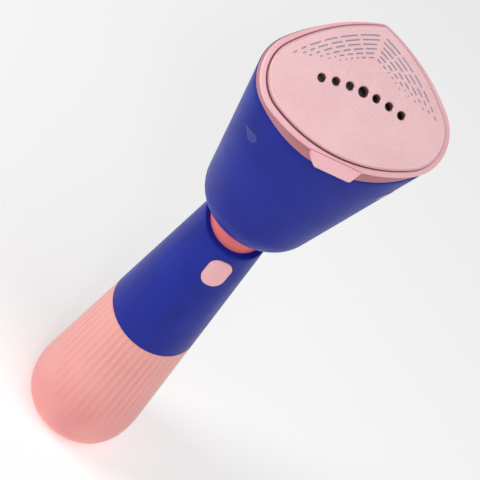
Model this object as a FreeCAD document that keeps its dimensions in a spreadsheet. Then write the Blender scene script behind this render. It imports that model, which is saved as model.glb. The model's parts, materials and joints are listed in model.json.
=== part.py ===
import FreeCAD, Part
import math
import operator
import os

import Sketcher
from FreeCAD import Placement, Rotation, Vector

# Hand-held garment steamer, in millimetres.
# +Z runs up the handle's axis, -Y is the front (the side of the button and of the
# soleplate's lower edge), and the origin is the centre of the flat foot of the tank.

doc = FreeCAD.newDocument("GarmentSteamer")
sheet = doc.addObject("Spreadsheet::Sheet", "Sizes")

SIZES = [
    # The handle and the tank share one cone.
    ("cone_base_radius", 29.5), ("cone_top_radius", 17.0), ("cone_height", 161.0),
    ("foot_radius", 18.8), ("heel_height", 8.4), ("heel_fillet", 21.5), ("foot_fillet", 4.5),
    ("split_height", 86.6), ("split_tilt", 5.0), ("split_gap", 0.3),
    ("handle_wall", 2.2), ("shoulder_height", 163.0), ("shoulder_tilt", 16.5), ("shoulder_fillet", 1.1),
    # Tank, its lid and what closes it.
    ("tank_wall", 2.0), ("tank_floor", 2.6), ("lid_height", 72.0), ("lid_thickness", 3.0), ("weld_gap", 0.05),
    ("spigot_radius", 8.0), ("spigot_wall", 1.8), ("spigot_rise", 15.0), ("seat_height", 3.0),
    ("seal_section", 1.1), ("seal_drop", 4.0), ("seal_fit", 0.05),
    ("poppet_radius", 4.2), ("poppet_thickness", 2.0), ("stem_radius", 1.2), ("stem_room", 1.3),
    ("pin_gap", 0.02), ("valve_wire", 0.35),
    ("filler_gap", 0.85), ("plug_rim", 1.0), ("plug_fit", 0.05), ("plug_flange", 1.6), ("plug_lip", 1.5),
    ("pickup_radius", 2.2), ("pickup_bore", 1.4), ("filter_radius", 4.5), ("filter_height", 9.0),
    ("filter_clearance", 3.0),
    # Dock, spine and the pump in the handle.
    ("dock_height", 96.0), ("dock_thickness", 3.0), ("dock_gap", 0.15), ("socket_wall", 1.8),
    ("socket_clearance", 0.3), ("socket_depth", 13.0), ("inlet_radius", 2.0), ("inlet_bore", 1.0),
    ("spine_width", 20.0), ("spine_thickness", 2.0), ("spine_top", 146.0), ("spine_offset", -4.5),
    ("pump_offset", 6.2), ("pump_base", 118.0), ("pump_length", 28.0), ("pump_radius", 4.6),
    ("pump_bore", 2.6), ("pump_fit", 0.05), ("pump_end", 3.0),
    ("plunger_length", 12.0), ("coil_radius", 7.2), ("coil_length", 16.0), ("yoke_thickness", 1.2),
    ("pump_wire", 0.35), ("hose_radius", 2.5), ("hose_fit", 0.02), ("nipple_length", 4.5),
    ("hose_end_gap", 0.3), ("hose_bend", 4.0), ("hose_rise", 30.0),
    # Button, switch and board.
    ("button_height", 145.5), ("button_width", 11.2), ("button_length", 15.9), ("button_corner", 5.0),
    ("button_gap", 0.3), ("button_proud", 0.45), ("button_flange", 1.0), ("button_flange_thickness", 1.0),
    ("button_seat", 13.6), ("button_travel", 1.0), ("board_thickness", 1.6), ("board_width", 15.0),
    ("board_base", 116.0), ("board_length", 38.0), ("board_face", 8.2), ("switch_side", 6.2),
    ("switch_depth", 2.6), ("switch_stem", 1.6), ("switch_fit", 0.06),
    # Cord inlet at the back of the handle.
    ("gland_height", 112.0), ("gland_radius", 5.6), ("gland_bore", 3.3), ("gland_flange", 1.6),
    ("gland_proud", 3.0), ("gland_length", 8.0),
    ("gland_lip", 1.3),
    # Coral collar between the handle and the head.
    ("collar_radius", 14.3), ("collar_wall", 1.8), ("collar_base", 154.6), ("collar_fit", 0.05),
    ("neck_radius", 7.6), ("neck_bore", 5.6), ("neck_rise", 8.0), ("neck_fit", 0.1),
    ("nut_radius", 9.4), ("nut_thickness", 3.0), ("collar_web", 2.4),
    # Head: a round bottom that opens out to the drop outline of the soleplate.
    ("plate_height", 268.3), ("plate_tilt", 33.3), ("plate_half_width", 42.8), ("plate_apex", 25.7),
    ("plate_bottom", -34.3), ("plate_wide_at", -10.6), ("plate_corner", 17.3), ("plate_side", 86.0),
    ("plate_point", 4.0),
    ("head_bottom", 167.8), ("bottom_round", 18.0), ("round_end", 76.0), ("ring_radius", 27.6),
    ("ring_ease", 1.5), ("ring_centre", -0.6), ("head_wall", 2.2), ("head_grow", 3.1), ("head_front", 3.2),
    ("head_depth", 7.0), ("back_ease", 1.6),
    # Soleplate, its rim and the steam chamber behind it.
    ("plate_thickness", 3.6), ("plate_edge", 0.9), ("rim_gap", 0.35), ("rim_grow", 2.7), ("rim_drop", 2.0),
    ("rim_edge", 0.3), ("band_top_grow", 2.0), ("band_grow", 2.8), ("band_front", 3.1), ("skirt_grow", -3.0),
    ("skirt_depth", 3.5), ("flange_grow", -5.0), ("hole_pitch", 6.58), ("hole_radius", 1.9),
    ("centre_hole_radius", 2.4), ("hole_row", -4.5), ("hole_bow", 0.25), ("hole_chamfer", 0.35),
    ("tab_width", 24.8), ("tab_foot", 17.2), ("tab_length", 6.0), ("tab_corner", 1.6), ("tab_edge", 0.9),
    ("tab_root", 1.8), ("tab_slope", 3.6), ("tab_depth", 3.1), ("tab_gap", 0.2), ("seat_gap", 0.06),
    ("chamber_grow", -9.0), ("chamber_depth", 12.0), ("chamber_wall", 3.0), ("cavity_depth", 7.0),
    ("gasket_thickness", 1.0), ("element_radius", 3.0), ("nozzle_y", 5.0), ("nozzle_length", 6.0),
    ("element_half_span", 17.0),
    ("element_leg", 16.0), ("element_gap", 0.05), ("terminal_radius", 1.3), ("terminal_length", 8.0),
    ("thermostat_radius", 6.5), ("thermostat_height", 5.0), ("fuse_radius", 1.7), ("fuse_length", 11.0),
    ("shield_grow", -13.0), ("shield_thickness", 0.8), ("shield_gap", 2.0), ("post_radius", 2.6),
    ("screw_radius", 1.4), ("screw_head", 2.6), ("screw_head_height", 1.8),
    # Drop-shaped indicator windows in the sides of the head.
    ("lens_x", 32.0), ("lens_y", -19.2), ("lens_z", 230.5), ("lens_radius", 2.75), ("lens_length", 9.4),
    ("lens_turn", -69.0), ("lens_heading", 50.3), ("lens_reach", 12.0), ("lens_gap", 0.12),
]

for row, (alias, number) in enumerate(SIZES, start=1):
    sheet.set(f"A{row}", alias.replace("_", " "))
    sheet.set(f"B{row}", str(number))
    sheet.setAlias(f"B{row}", alias)
doc.recompute()


class Size:
    """A number together with the sheet formula that gives it."""

    def __init__(self, value, formula=None):
        self.value = float(value)
        self.formula = formula or repr(float(value))

    def join(self, other, sign, action):
        other = as_size(other)
        return Size(action(self.value, other.value), f"({self.formula} {sign} {other.formula})")

    def __add__(self, other):
        return self.join(other, "+", operator.add)

    def __sub__(self, other):
        return self.join(other, "-", operator.sub)

    def __mul__(self, other):
        return self.join(other, "*", operator.mul)

    def __truediv__(self, other):
        return self.join(other, "/", operator.truediv)

    def __radd__(self, other):
        return as_size(other) + self

    def __rsub__(self, other):
        return as_size(other) - self

    def __rmul__(self, other):
        return as_size(other) * self

    def __neg__(self):
        return Size(-self.value, f"(-{self.formula})")


def as_size(number):
    return number if isinstance(number, Size) else Size(number)


def root(size):
    return Size(math.sqrt(size.value), f"sqrt({size.formula})")


def sine(angle):
    return Size(math.sin(math.radians(angle.value)), f"sin({angle.formula} * 1 deg)")


def cosine(angle):
    return Size(math.cos(math.radians(angle.value)), f"cos({angle.formula} * 1 deg)")


class Named:
    """The sheet's driving dimensions as attributes."""


size = Named()
for alias, number in SIZES:
    setattr(size, alias, Size(number, f"Sizes.{alias}"))

slope = (size.cone_base_radius - size.cone_top_radius) / size.cone_height


def cone_radius(height):
    """Radius of the handle's and tank's shared cone at a height."""
    return size.cone_base_radius - slope * height


# The filler plug sits midway between the spigot and the tank's wall.
filler_room = cone_radius(size.lid_height + size.lid_thickness) - size.tank_wall - size.spigot_radius
filler_offset = size.spigot_radius + filler_room / 2
filler_radius = filler_room / 2 - size.filler_gap - size.plug_rim


# ---------------------------------------------------------------- small helpers

pieces = []


def keep(item, label):
    """Names a finished sub-part; its label is the name of its file."""
    item.Label = label
    pieces.append(item)
    return item


def bind(item, path, number):
    item.setExpression(path, as_size(number).formula)


def place(item, x=0, y=0, z=0, axis=None, angle=0):
    """Puts an object where sheet formulas say, turned by an angle about an axis."""
    x, y, z, angle = (as_size(number) for number in (x, y, z, angle))
    turn = Rotation(Vector(*axis), angle.value) if axis else Rotation()
    item.Placement = Placement(Vector(x.value, y.value, z.value), turn)
    for path, number in (("x", x), ("y", y), ("z", z)):
        bind(item, f"Placement.Base.{path}", number)
    if axis:
        bind(item, "Placement.Rotation.Angle", angle)
    return item


def cylinder(name, radius, height, x=0, y=0, z=0, axis=None, angle=0):
    item = doc.addObject("Part::Cylinder", name)
    bind(item, "Radius", radius)
    bind(item, "Height", height)
    return place(item, x, y, z, axis, angle)


def cone(name, radius_low, radius_high, height, x=0, y=0, z=0, axis=None, angle=0):
    item = doc.addObject("Part::Cone", name)
    bind(item, "Radius1", radius_low)
    bind(item, "Radius2", radius_high)
    bind(item, "Height", height)
    return place(item, x, y, z, axis, angle)


def box(name, length, width, height, x=0, y=0, z=0, axis=None, angle=0):
    item = doc.addObject("Part::Box", name)
    bind(item, "Length", length)
    bind(item, "Width", width)
    bind(item, "Height", height)
    return place(item, x, y, z, axis, angle)


def block(name, width, depth, height, x=0, y=0, z=0):
    """A box centred on x and y, standing on z."""
    width, depth = as_size(width), as_size(depth)
    return box(name, width, depth, height, as_size(x) - width / 2, as_size(y) - depth / 2, z)


def fuse(name, *items):
    item = doc.addObject("Part::MultiFuse", name)
    item.Shapes = list(items)
    item.Refine = True
    return item


def group(name, *items):
    """Separate solids kept in one object."""
    item = doc.addObject("Part::Compound", name)
    item.Links = list(items)
    return item


def cut(name, base, *tools):
    item = doc.addObject("Part::Cut", name)
    item.Base = base
    item.Tool = tools[0] if len(tools) == 1 else fuse(name + "_tools", *tools)
    return item


def common(name, first, second):
    item = doc.addObject("Part::Common", name)
    item.Base = first
    item.Tool = second
    return item


def new_body(name):
    return doc.addObject("PartDesign::Body", name)


def new_sketch(owner, name, role="XY_Plane", y=None, z=None, tilt=None):
    """A sketch on one of its body's own planes, shifted and tilted about X by formulas."""
    sketch = owner.newObject("Sketcher::SketchObject", name)
    plane = [item for item in owner.Origin.OriginFeatures if item.Role == role][0]
    sketch.AttachmentSupport = [(plane, "")]
    sketch.MapMode = "FlatFace"
    turn = Rotation(Vector(1, 0, 0), tilt.value) if tilt else Rotation()
    shift = Vector(0, as_size(y or 0).value, as_size(z or 0).value)
    sketch.AttachmentOffset = Placement(shift, turn)
    if y is not None:
        bind(sketch, "AttachmentOffset.Base.y", y)
    if z is not None:
        bind(sketch, "AttachmentOffset.Base.z", z)
    if tilt:
        bind(sketch, "AttachmentOffset.Rotation.Angle", tilt)
    return sketch


ORIGIN, X_AXIS, Y_AXIS = -1, -1, -2
START, END, CENTRE = 1, 2, 3


def dimension(sketch, kind, *where, number):
    """Adds one driving dimension and binds it to its formula."""
    index = sketch.addConstraint(Sketcher.Constraint(kind, *where, number.value))
    sketch.setExpression(f"Constraints[{index}]", number.formula)


def pin_point(sketch, geometry, corner, x, y):
    """Fixes a point of a sketch by its two coordinates."""
    for number, kind, axis in ((x, "DistanceX", Y_AXIS), (y, "DistanceY", X_AXIS)):
        if isinstance(number, Size):
            dimension(sketch, kind, ORIGIN, START, geometry, corner, number=number)
        else:
            sketch.addConstraint(Sketcher.Constraint("PointOnObject", geometry, corner, axis))


def polygon(sketch, points):
    """A closed outline of straight lines; a coordinate is a Size, or 0 for a point on an axis."""
    spots = [Vector(as_size(x).value, as_size(y).value, 0) for x, y in points]
    count = len(spots)
    first = sketch.GeometryCount
    lines = [Part.LineSegment(spots[index], spots[(index + 1) % count]) for index in range(count)]
    sketch.addGeometry(lines, False)
    for index in range(count):
        after = first + (index + 1) % count
        sketch.addConstraint(Sketcher.Constraint("Coincident", first + index, END, after, START))
        pin_point(sketch, first + index, START, *points[index])


def circle(sketch, radius, x=0, y=0):
    centre = Vector(as_size(x).value, as_size(y).value, 0)
    index = sketch.addGeometry(Part.Circle(centre, Vector(0, 0, 1), as_size(radius).value), False)
    dimension(sketch, "Radius", index, number=as_size(radius))
    pin_point(sketch, index, CENTRE, x, y)


def arc(centre, radius, start, end):
    """A counter-clockwise arc between two angles in radians."""
    ring = Part.Circle(Vector(centre[0], centre[1], 0), Vector(0, 0, 1), radius)
    return Part.ArcOfCircle(ring, start, end)


def bearing(start, end):
    return math.atan2(end[1] - start[1], end[0] - start[0])


def drop(sketch, half_width, apex, bottom, wide_at, corner, side, point):
    """The drop outline: six tangent arcs, alike left and right, with its point towards +Y.

    half_width, apex and bottom are the outline's reach; wide_at is the height of the corner
    arcs' centres; corner, side and point are the radii of the corners, flanks and tip.
    """
    corner_x = half_width - corner
    fall = wide_at - bottom
    belly = (corner_x * corner_x + fall * fall - corner * corner) / (2 * (fall - corner))
    tip = (0.0, (apex - point).value)
    cheek = (corner_x.value, wide_at.value)
    base = (0.0, (bottom + belly).value)
    reach, swing = (side - corner).value, (side - point).value
    span = math.dist(tip, cheek)
    along = (reach ** 2 - swing ** 2 + span ** 2) / (2 * span)
    across = math.sqrt(reach ** 2 - along ** 2)
    step = ((tip[0] - cheek[0]) / span, (tip[1] - cheek[1]) / span)
    flank = (cheek[0] + along * step[0] + across * -abs(step[1]),
             cheek[1] + along * step[1] - across * abs(step[0]))
    turn_tip = bearing(flank, tip)
    turn_cheek = bearing(flank, cheek)
    turn_base = bearing(base, cheek)
    tip_r, side_r, corner_r, belly_r = point.value, side.value, corner.value, belly.value
    half_turn = math.pi
    sketch.addGeometry([
        arc(tip, tip_r, turn_tip, half_turn - turn_tip),
        arc((-flank[0], flank[1]), side_r, half_turn - turn_tip, half_turn - turn_cheek),
        arc((-cheek[0], cheek[1]), corner_r, half_turn - turn_cheek, half_turn - turn_base),
        arc(base, belly_r, half_turn - turn_base, 2 * half_turn + turn_base),
        arc(cheek, corner_r, turn_base, turn_cheek),
        arc(flank, side_r, turn_cheek, turn_tip),
    ], False)
    for index in range(6):
        after = (index + 1) % 6
        sketch.addConstraint(Sketcher.Constraint("Tangent", index, END, after, START))
    pin_point(sketch, 0, CENTRE, 0, apex - point)
    dimension(sketch, "Radius", 0, number=point)
    dimension(sketch, "Radius", 5, number=side)
    dimension(sketch, "Radius", 4, number=corner)
    pin_point(sketch, 4, CENTRE, corner_x, wide_at)
    sketch.addConstraint(Sketcher.Constraint("Equal", 5, 1))
    sketch.addConstraint(Sketcher.Constraint("Equal", 4, 2))
    sketch.addConstraint(Sketcher.Constraint("Symmetric", 4, CENTRE, 2, CENTRE, Y_AXIS))
    dimension(sketch, "DistanceY", ORIGIN, START, 3, CENTRE, number=bottom + belly)


def plate_drop(sketch, grow, front=None, back=None):
    """The soleplate's outline, grown outwards, a little more at the front and less at the tip.

    An inset keeps the tip's radius.
    """
    point, apex = size.plate_point, size.plate_apex
    if grow.value > 0:
        tip_grow = grow - (back or 0)
        point, apex = point + tip_grow, apex + tip_grow
    elif grow.value < 0:
        flank_x, flank_y = flank_centre()
        swing = size.plate_side + grow - point
        apex = flank_y + root(swing * swing - flank_x * flank_x) + point
    drop(sketch, size.plate_half_width + grow, apex, size.plate_bottom - grow - (front or 0),
         size.plate_wide_at, size.plate_corner + grow, size.plate_side + grow, point)


def flank_centre():
    """Centre of the arc of the soleplate's right flank, which every inset shares."""
    corner_x = size.plate_half_width - size.plate_corner
    rise = size.plate_apex - size.plate_point - size.plate_wide_at
    span = root(corner_x * corner_x + rise * rise)
    reach = size.plate_side - size.plate_corner
    swing = size.plate_side - size.plate_point
    along = (reach * reach - swing * swing + span * span) / (2 * span)
    across = root(reach * reach - along * along)
    return (corner_x - (along * corner_x + across * rise) / span,
            size.plate_wide_at + (along * rise - across * corner_x) / span)


def feature(owner, kind, name, profile=None, **settings):
    item = owner.newObject(kind, name)
    if profile is not None:
        item.Profile = profile
    for key, value in settings.items():
        if isinstance(value, Size):
            bind(item, key, value)
        else:
            setattr(item, key, value)
    return item


def pad(owner, profile, length, reverse=False):
    return feature(owner, "PartDesign::Pad", profile.Name + "_pad", profile, Length=length,
                   Reversed=reverse)


def pocket(owner, profile, length=None, reverse=False):
    """Cuts down from the sketch, right through when no length is given."""
    item = feature(owner, "PartDesign::Pocket", profile.Name + "_pocket", profile, Reversed=reverse)
    if length is None:
        item.Type = "ThroughAll"
    else:
        bind(item, "Length", length)
    return item


def turned(name, points, holes=()):
    """A body turned about the Z axis from a closed profile of (radius, height) corners."""
    owner = new_body(name)
    profile = new_sketch(owner, name + "_profile", "XZ_Plane")
    polygon(profile, points)
    doc.recompute()
    feature(owner, "PartDesign::Revolution", name + "_turn", profile, Angle=360,
            ReferenceAxis=(profile, ["V_Axis"]))
    for index, (radius, x, y) in enumerate(holes):
        sketch = new_sketch(owner, f"{name}_hole{index}")
        circle(sketch, radius, x, y)
        both = pocket(owner, sketch)
        both.Midplane = True
    doc.recompute()
    return owner


def edge_names(owner, wanted):
    """Names of a body's edges whose middle point passes a test."""
    names = []
    for index, edge in enumerate(owner.Shape.Edges, start=1):
        middle = edge.valueAt((edge.FirstParameter + edge.LastParameter) / 2)
        if wanted(middle, edge):
            names.append(f"Edge{index}")
    return names


def round_edges(owner, radius, wanted, kind="Fillet"):
    """Fillets or chamfers the chosen edges of a body."""
    doc.recompute()
    names = edge_names(owner, wanted)
    before = owner.Tip
    item = owner.newObject("PartDesign::" + kind, f"{owner.Name}_{kind.lower()}{len(owner.Group)}")
    item.Base = (before, names)
    bind(item, "Radius" if kind == "Fillet" else "Size", radius)
    doc.recompute()
    return item


def level(height):
    """Picks edges whose middle lies at one height."""
    return lambda middle, edge: abs(middle.z - as_size(height).value) < 0.01


def beside(name, height, tilt, above):
    """A large block that ends at a plane tilted about X through a height on the axis."""
    reach = size.cone_base_radius * 8
    lift = as_size(0) if above else -reach
    y = -reach / 2 * cosine(tilt) - lift * sine(tilt)
    z = height - reach / 2 * sine(tilt) + lift * cosine(tilt)
    return box(name, reach, reach, reach, -reach / 2, y, z, (1, 0, 0), tilt)


def sweep(name, points, radius, bends=()):
    """A round rod or hose along straight runs joined by tangent arcs.

    points are the route's corners and bends the arc radius at each inner corner.
    """
    spots = [Vector(*(as_size(number).value for number in spot)) for spot in points]
    edges = []
    here = spots[0]
    for index in range(1, len(spots) - 1):
        inward = (spots[index] - spots[index - 1]).normalize()
        outward = (spots[index + 1] - spots[index]).normalize()
        angle = inward.getAngle(outward)
        bend = as_size(bends[index - 1]).value
        setback = bend * math.tan(angle / 2)
        start = spots[index] - inward * setback
        end = spots[index] + outward * setback
        aim = (outward - inward).normalize()
        middle = spots[index] + aim * (bend / math.cos(angle / 2) - bend)
        edges.append(Part.LineSegment(here, start).toShape())
        edges.append(Part.Arc(start, middle, end).toShape())
        here = end
    edges.append(Part.LineSegment(here, spots[-1]).toShape())
    route = Part.Wire(edges)
    facing = (spots[1] - spots[0]).normalize()
    ring = Part.Wire(Part.makeCircle(as_size(radius).value, spots[0], facing))
    item = doc.addObject("Part::Feature", name)
    item.Shape = route.makePipeShell([ring], True, False)
    return item


def spring(name, radius, wire, height, turns, x, y, z):
    """A round-wire compression spring standing on z."""
    item = doc.addObject("Part::Feature", name)
    radius, wire, height = (as_size(number).value for number in (radius, wire, height))
    rise = height - 2 * wire
    helix = Part.makeHelix(rise / turns, rise, radius)
    ring = Part.Wire(Part.makeCircle(wire, Vector(radius, 0, 0), Vector(0, 1, 0)))
    item.Shape = Part.Wire(helix).makePipeShell([ring], True, True)
    x, y, z = (as_size(number).value for number in (x, y, z))
    item.Placement = Placement(Vector(x, y, z + wire), Rotation())
    return item


# ---------------------------------------------------------------- tank

def tank_form(name, inset, floor):
    """The tank's rounded cone, inset by a wall, from its foot to above the split."""
    top = size.split_height + size.cone_base_radius / 2
    owner = turned(name, [
        (0, floor if isinstance(floor, Size) else 0),
        (size.foot_radius - inset, floor if isinstance(floor, Size) else 0),
        (cone_radius(size.heel_height) - inset, size.heel_height + as_size(inset) / 2),
        (cone_radius(top) - inset, top),
        (0, top)])
    heel = size.heel_height + as_size(inset) / 2
    round_edges(owner, size.heel_fillet - inset, level(heel))
    round_edges(owner, size.foot_fillet, level(floor))
    return owner


def make_tank_shell():
    """A cup whose rim follows the tilted split line."""
    blank = cut("tank_wall_blank", tank_form("tank_outer", as_size(0), 0),
                tank_form("tank_inner", size.tank_wall, size.tank_floor))
    above = beside("above_split", size.split_height, size.split_tilt, True)
    keep(cut("tank_cup", blank, above), "tank_shell")


def make_tank_lid():
    """Welded into the cup below its rim; its spigot plugs into the handle's dock."""
    low, high = size.lid_height, size.lid_height + size.lid_thickness
    inset = size.tank_wall + size.weld_gap
    spigot_top = high + size.spigot_rise
    bore = size.spigot_radius - size.spigot_wall
    seat = low + size.seat_height
    groove = spigot_top - size.seal_drop
    root_radius = size.spigot_radius - size.seal_section
    owner = turned("lid", [
        (size.stem_radius + size.stem_room, low), (cone_radius(low) - inset, low), (cone_radius(high) - inset, high),
        (size.spigot_radius, high), (size.spigot_radius, groove - size.seal_section),
        (root_radius, groove - size.seal_section), (root_radius, groove + size.seal_section),
        (size.spigot_radius, groove + size.seal_section), (size.spigot_radius, spigot_top),
        (bore, spigot_top), (bore, seat), (size.stem_radius + size.stem_room, seat)],
        [(filler_radius, as_size(0), filler_offset)])
    keep(owner, "tank_lid")


def make_tank_seal():
    """Rubber ring in the spigot's groove; it rubs on the dock's socket."""
    height = size.lid_height + size.lid_thickness + size.spigot_rise - size.seal_drop
    outer = size.spigot_radius + size.socket_clearance - size.seal_fit
    inner = size.spigot_radius - size.seal_section
    half = size.seal_section * 0.9
    owner = turned("seal", [(inner, height - half), (outer - 0.3, height - half), (outer, height - 0.3),
                            (outer, height + 0.3), (outer - 0.3, height + half), (inner, height + half)])
    keep(owner, "tank_seal")


def make_tank_plug():
    """Soft filler plug: a barrel in the lid's hole and a flange with a pull tab on top."""
    top = size.lid_height + size.lid_thickness
    barrel = cylinder("plug_barrel", filler_radius - size.plug_fit, size.lid_thickness + size.plug_lip,
                      0, filler_offset, size.lid_height - size.plug_lip)
    flange = cylinder("plug_flange_disc", filler_radius + size.plug_rim, size.plug_flange, 0,
                      filler_offset, top)
    tab = block("plug_tab", filler_radius, size.plug_flange, 4.0, 0, filler_offset, top + size.plug_flange)
    keep(fuse("plug", barrel, flange, tab), "filler_plug")


def make_valve():
    """Poppet in the spigot, pressed open by the dock's pin while the tank is seated."""
    seat = size.lid_height + size.seat_height
    spring_height = 4.0
    poppet_low = seat + spring_height
    pin_low = dock_pin_low()
    disc = cylinder("poppet_disc", size.poppet_radius, size.poppet_thickness, 0, 0, poppet_low)
    stem = cylinder("poppet_stem", size.stem_radius, pin_low - size.pin_gap - poppet_low, 0, 0, poppet_low)
    keep(fuse("poppet", disc, stem), "valve_poppet")
    keep(spring("valve_coil", size.poppet_radius - 1.0, size.valve_wire, as_size(spring_height) - 0.1, 3,
                0, 0, seat + 0.05), "valve_spring")


def dock_pin_low():
    """Height of the tip of the pin that opens the tank's valve."""
    return size.dock_height - 6.0


def make_pickup():
    """Hose from the lid down to a weighted filter near the tank's floor."""
    filter_low = size.tank_floor + size.filter_clearance
    filter_top = filter_low + size.filter_height
    tube = turned("pickup", [
        (size.pickup_bore, filter_top - 3), (size.pickup_radius, filter_top - 3),
        (size.pickup_radius, size.lid_height), (size.pickup_bore, size.lid_height)])
    keep(tube, "pickup_tube")
    weight = turned("filter", [
        (0, filter_low), (size.filter_radius - 1, filter_low), (size.filter_radius, filter_low + 1),
        (size.filter_radius, filter_top - 1.5), (size.filter_radius - 1.5, filter_top),
        (size.pickup_radius, filter_top), (size.pickup_radius, filter_top - 3), (0, filter_top - 3)])
    keep(weight, "pickup_filter")


# ---------------------------------------------------------------- handle

def make_handle_shell():
    """One tapered sleeve with tilted ends, a button slot, a gland hole and a bored shoulder."""
    low, high = size.split_height - 10, size.shoulder_height + 12
    inner_top = size.collar_base
    bore = size.collar_radius + size.collar_fit
    sleeve = turned("sleeve", [
        (cone_radius(low) - size.handle_wall, low), (cone_radius(low), low), (cone_radius(high), high),
        (bore, high), (bore, inner_top), (cone_radius(inner_top) - size.handle_wall, inner_top)])
    below = beside("below_split", size.split_height + size.split_gap, size.split_tilt, False)
    over = beside("above_shoulder", size.shoulder_height, size.shoulder_tilt, True)
    slot = button_prism("button_slot", size.button_gap)
    hole = cylinder("gland_hole", size.gland_radius, size.cone_base_radius, 0, 0, size.gland_height,
                    (1, 0, 0), -90)
    raw = cut("handle_raw", sleeve, below, over, slot, hole)
    doc.recompute()
    rounded = doc.addObject("Part::Fillet", "handle_round")
    rounded.Base = raw
    limit = size.shoulder_height.value - 8
    chosen = [(index, size.shoulder_fillet.value, size.shoulder_fillet.value)
              for index, edge in enumerate(raw.Shape.Edges, start=1)
              if is_shoulder_rim(edge, limit)]
    rounded.Edges = chosen
    keep(rounded, "handle_shell")


def is_shoulder_rim(edge, limit):
    """True for the outer edge of the handle's tilted top."""
    if edge.BoundBox.ZMin < limit:
        return False
    middle = edge.valueAt((edge.FirstParameter + edge.LastParameter) / 2)
    return math.hypot(middle.x, middle.y) > size.collar_radius.value + 0.3 and edge.Closed


def button_prism(name, grow, front=None, depth=None):
    """A rounded rectangle on the handle's front, extruded along Y."""
    owner = new_body(name)
    front = front if front is not None else -size.cone_base_radius
    depth = depth if depth is not None else size.cone_base_radius
    sketch = new_sketch(owner, name + "_outline", "XZ_Plane", z=-front)
    half_width = size.button_width / 2 + grow
    half_length = size.button_length / 2 + grow
    low, high = size.button_height - half_length, size.button_height + half_length
    polygon(sketch, [(-half_width, low), (half_width, low), (half_width, high), (-half_width, high)])
    doc.recompute()
    pad(owner, sketch, depth, reverse=True)
    corner = size.button_corner + grow
    round_edges(owner, corner, lambda middle, edge: abs(middle.z - size.button_height.value)
                > half_length.value - 0.01 and abs(abs(middle.x) - half_width.value) < 0.01)
    return owner


def make_button():
    """Pink cap that follows the cone, with a flange behind the wall and the switch's plunger."""
    prism = button_prism("cap_prism", as_size(0), depth=size.cone_base_radius - size.button_seat)
    low, high = size.button_height - size.button_length, size.button_height + size.button_length
    skin = cone("cap_skin", cone_radius(low) + size.button_proud, cone_radius(high) + size.button_proud,
                high - low, 0, 0, low)
    cap = common("cap_face", prism, skin)
    flange = button_prism("cap_flange", size.button_flange, front=-size.button_seat,
                          depth=size.button_flange_thickness)
    keep(fuse("cap", cap, flange), "steam_button")
    tip = size.button_seat - size.button_flange_thickness
    rest = size.board_face + size.button_travel + 0.2
    stem = cylinder("switch_stem_rod", size.switch_stem, tip - rest, 0, -rest, size.button_height,
                    (1, 0, 0), 90)
    keep(stem, "switch_plunger")


def make_board():
    """Control board with the tactile switch's case, its relay block and two terminals."""
    half = size.board_width / 2
    board = box("board_plate", size.board_width, size.board_thickness, size.board_length,
                -half, -size.board_face, size.board_base)
    keep(board, "control_board")
    case = block("switch_block", size.switch_side, size.switch_depth, size.switch_side, 0,
                 -size.board_face - size.switch_depth / 2, size.button_height - size.switch_side / 2)
    bore = cylinder("switch_bore", size.switch_stem + size.switch_fit, size.switch_depth + 1, 0,
                    -size.board_face, size.button_height, (1, 0, 0), 90)
    keep(cut("switch", case, bore), "micro_switch")
    relay = block("relay_block", 9.0, 3.4, 12.0, 0, -size.board_face - 1.7, size.board_base + 3)
    keep(relay, "relay")


def make_dock():
    """Bulkhead with the socket for the tank's spigot, the valve pin and the water nipple."""
    low, high = size.dock_height, size.dock_height + size.dock_thickness
    socket = size.spigot_radius + size.socket_clearance
    wall = socket + size.socket_wall
    inset = size.handle_wall + size.dock_gap
    foot = high - size.socket_depth
    spout = size.inlet_radius - size.hose_fit
    owner = turned("dock", [
        (size.inlet_bore, low), (socket, low), (socket, foot), (wall, foot), (wall, low),
        (cone_radius(low) - inset, low), (cone_radius(high) - inset, high), (spout, high),
        (spout, high + size.nipple_length), (size.inlet_bore, high + size.nipple_length)])
    keep(owner, "tank_dock")
    pin_low = dock_pin_low()
    pin = turned("pin", [(size.inlet_bore, pin_low), (size.inlet_radius, pin_low), (size.inlet_radius, low),
                         (size.inlet_bore, low)])
    keep(pin, "valve_pin")


def make_spine():
    """Upright rib that carries the board in front and the pump behind."""
    base = size.dock_height + size.dock_thickness
    rib = block("rib", size.spine_width, size.spine_thickness, size.spine_top - base, 0,
                size.spine_offset, base)
    window = block("rib_window", size.spine_width / 3, size.spine_thickness * 3, 12, 0,
                   size.spine_offset, base + 5)
    keep(cut("spine", rib, window), "chassis_spine")
    front = -size.board_face + size.board_thickness
    gap = size.spine_offset - size.spine_thickness / 2 - front
    posts = [cylinder(f"stand_off_{index}", 1.6, gap, 0, front, height, (1, 0, 0), -90)
             for index, height in enumerate((size.board_base + 4, size.board_base + size.board_length - 4))]
    keep(group("stand_offs", *posts), "board_stand_offs")


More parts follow.
